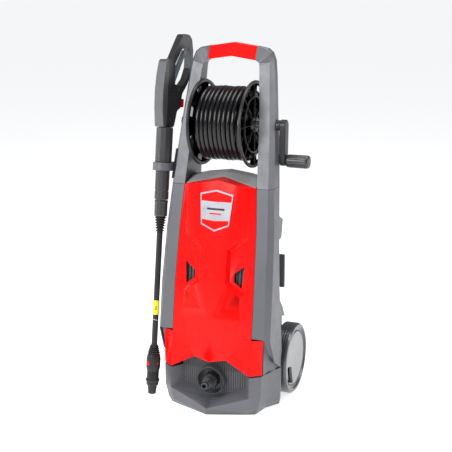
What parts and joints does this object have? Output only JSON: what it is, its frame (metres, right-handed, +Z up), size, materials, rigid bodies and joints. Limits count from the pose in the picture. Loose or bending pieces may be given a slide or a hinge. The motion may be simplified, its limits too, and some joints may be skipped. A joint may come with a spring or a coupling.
{
  "type": "pressure washer",
  "caption": "Upright electric pressure washer with a hose reel, a spray gun and lance in a side holder, a rear switch and two wheels.",
  "frame": {"origin": "on the ground, on the machine's middle plane, under the base's flat underside", "axes": "+Z up, front of the machine towards -Y, the crank's side towards +X"},
  "size_m": [0.3718, 0.3194, 0.8881],
  "materials": {
    "red_plastic": "glossy moulded plastic",
    "grey_plastic": "satin metallic grey moulding",
    "light_grey_plastic": "satin light grey moulding",
    "black_plastic": "fine-textured black moulding",
    "hub_black": "semi-gloss black plastic",
    "wheel_plastic": "hard glossy wheel plastic",
    "rubber": "matt rubber",
    "hose_rubber": "smooth glossy hose cover",
    "steel": "machined",
    "brass": "turned",
    "aluminium": "die cast",
    "badge": "silver paint",
    "trigger_grey": "satin"
  },
  "bodies": {
    "chassis": {"base_tray": "grey_plastic", "side_panel_left": "grey_plastic", "side_panel_right": "grey_plastic", "handle_frame": "grey_plastic", "top_cap": "grey_plastic", "rear_housing": "grey_plastic", "gun_holder": "grey_plastic", "front_cover": "red_plastic", "handle_grip": "red_plastic", "air_grille": "black_plastic", "inlet_shroud": "black_plastic", "inlet_nut": "black_plastic", "inlet_nipple": "black_plastic", "switch_box": "black_plastic", "reel_bush_left": "hub_black", "reel_bush_right": "hub_black", "foot_left": "rubber", "foot_right": "rubber", "cord_gland": "rubber", "axle": "steel", "motor_stator": "steel", "piston_1": "steel", "piston_2": "steel", "piston_3": "steel", "pump_head": "brass", "pump_block": "aluminium", "swash_housing": "aluminium", "capacitor": "aluminium", "emblem_plate": "badge"},
    "wheel_left": {"wheel_left": "wheel_plastic", "hub_cap_left": "hub_black"},
    "wheel_right": {"wheel_right": "wheel_plastic", "hub_cap_right": "hub_black"},
    "reel": {"reel_drum": "black_plastic", "reel_flange_left": "black_plastic", "reel_flange_right": "black_plastic", "reel_axle": "steel", "hose_coil": "hose_rubber", "hose_fitting": "brass", "crank_arm": "black_plastic"},
    "crank_grip": {"crank_grip": "hub_black"},
    "rotor": {"motor_rotor": "steel", "swash_plate": "steel", "cooling_fan": "black_plastic"},
    "power_knob": {"power_knob": "red_plastic"},
    "cable_hook": {"cable_hook": "grey_plastic"},
    "gun": {"gun_body": "black_plastic", "gun_shell": "light_grey_plastic", "gun_barrel": "black_plastic", "lance_collar": "black_plastic", "lance_boot": "rubber", "lance_tube": "black_plastic", "nozzle_head": "black_plastic"},
    "trigger": {"trigger": "trigger_grey"},
    "safety_button": {"safety_button": "red_plastic"},
    "nozzle_tip": {"nozzle_tip": "black_plastic"},
    "nozzle_button": {"nozzle_button": "red_plastic"}
  },
  "joints": [
    {"name": "wheel_left_spin", "type": "hinge", "parent": "chassis", "child": "wheel_left", "pos_m": [-0.136, 0.139, 0.089], "axis": [1, 0, 0], "continuous": true},
    {"name": "wheel_right_spin", "type": "hinge", "parent": "chassis", "child": "wheel_right", "pos_m": [0.136, 0.139, 0.089], "axis": [1, 0, 0], "continuous": true},
    {"name": "reel_spin", "type": "hinge", "parent": "chassis", "child": "reel", "pos_m": [0, 0.076, 0.682], "axis": [1, 0, 0], "continuous": true},
    {"name": "crank_grip_spin", "type": "hinge", "parent": "reel", "child": "crank_grip", "pos_m": [0.17, 0.076, 0.6], "axis": [1, 0, 0], "continuous": true},
    {"name": "rotor_spin", "type": "hinge", "parent": "chassis", "child": "rotor", "pos_m": [0, 0.043, 0.27], "axis": [0, 0, 1], "continuous": true},
    {"name": "power_knob_turn", "type": "hinge", "parent": "chassis", "child": "power_knob", "pos_m": [0, 0.108, 0.455], "axis": [0, 1, 0], "range_deg": [0, 90]},
    {"name": "cable_hook_turn", "type": "hinge", "parent": "chassis", "child": "cable_hook", "pos_m": [0.082, 0.108, 0.335], "axis": [0, 1, 0], "range_deg": [0, 180]},
    {"name": "gun_lift", "type": "slide", "parent": "chassis", "child": "gun", "axis": [0, 0.1483, 0.9889], "range_m": [0, 0.055]},
    {"name": "trigger_pull", "type": "hinge", "parent": "gun", "child": "trigger", "pos_m": [-0.14379, 0.05987, 0.77651], "axis": [0.9455, -0.322, 0.0483], "range_deg": [0, 6], "stiffness_Nm_per_rad": 1.5, "springref_deg": -11.46},
    {"name": "safety_press", "type": "slide", "parent": "gun", "child": "safety_button", "axis": [-0.3256, -0.935, 0.1403], "range_m": [0, 0.003], "stiffness_N_per_m": 300, "springref_m": -0.002},
    {"name": "nozzle_twist", "type": "hinge", "parent": "gun", "child": "nozzle_tip", "pos_m": [-0.149, -0.05967, 0.08155], "axis": [0, 0.1483, 0.9889], "range_deg": [0, 90]},
    {"name": "nozzle_button_press", "type": "slide", "parent": "gun", "child": "nozzle_button", "axis": [0.3256, 0.935, -0.1403], "range_m": [0, 0.0008], "stiffness_N_per_m": 300, "springref_m": -0.001}
  ]
}
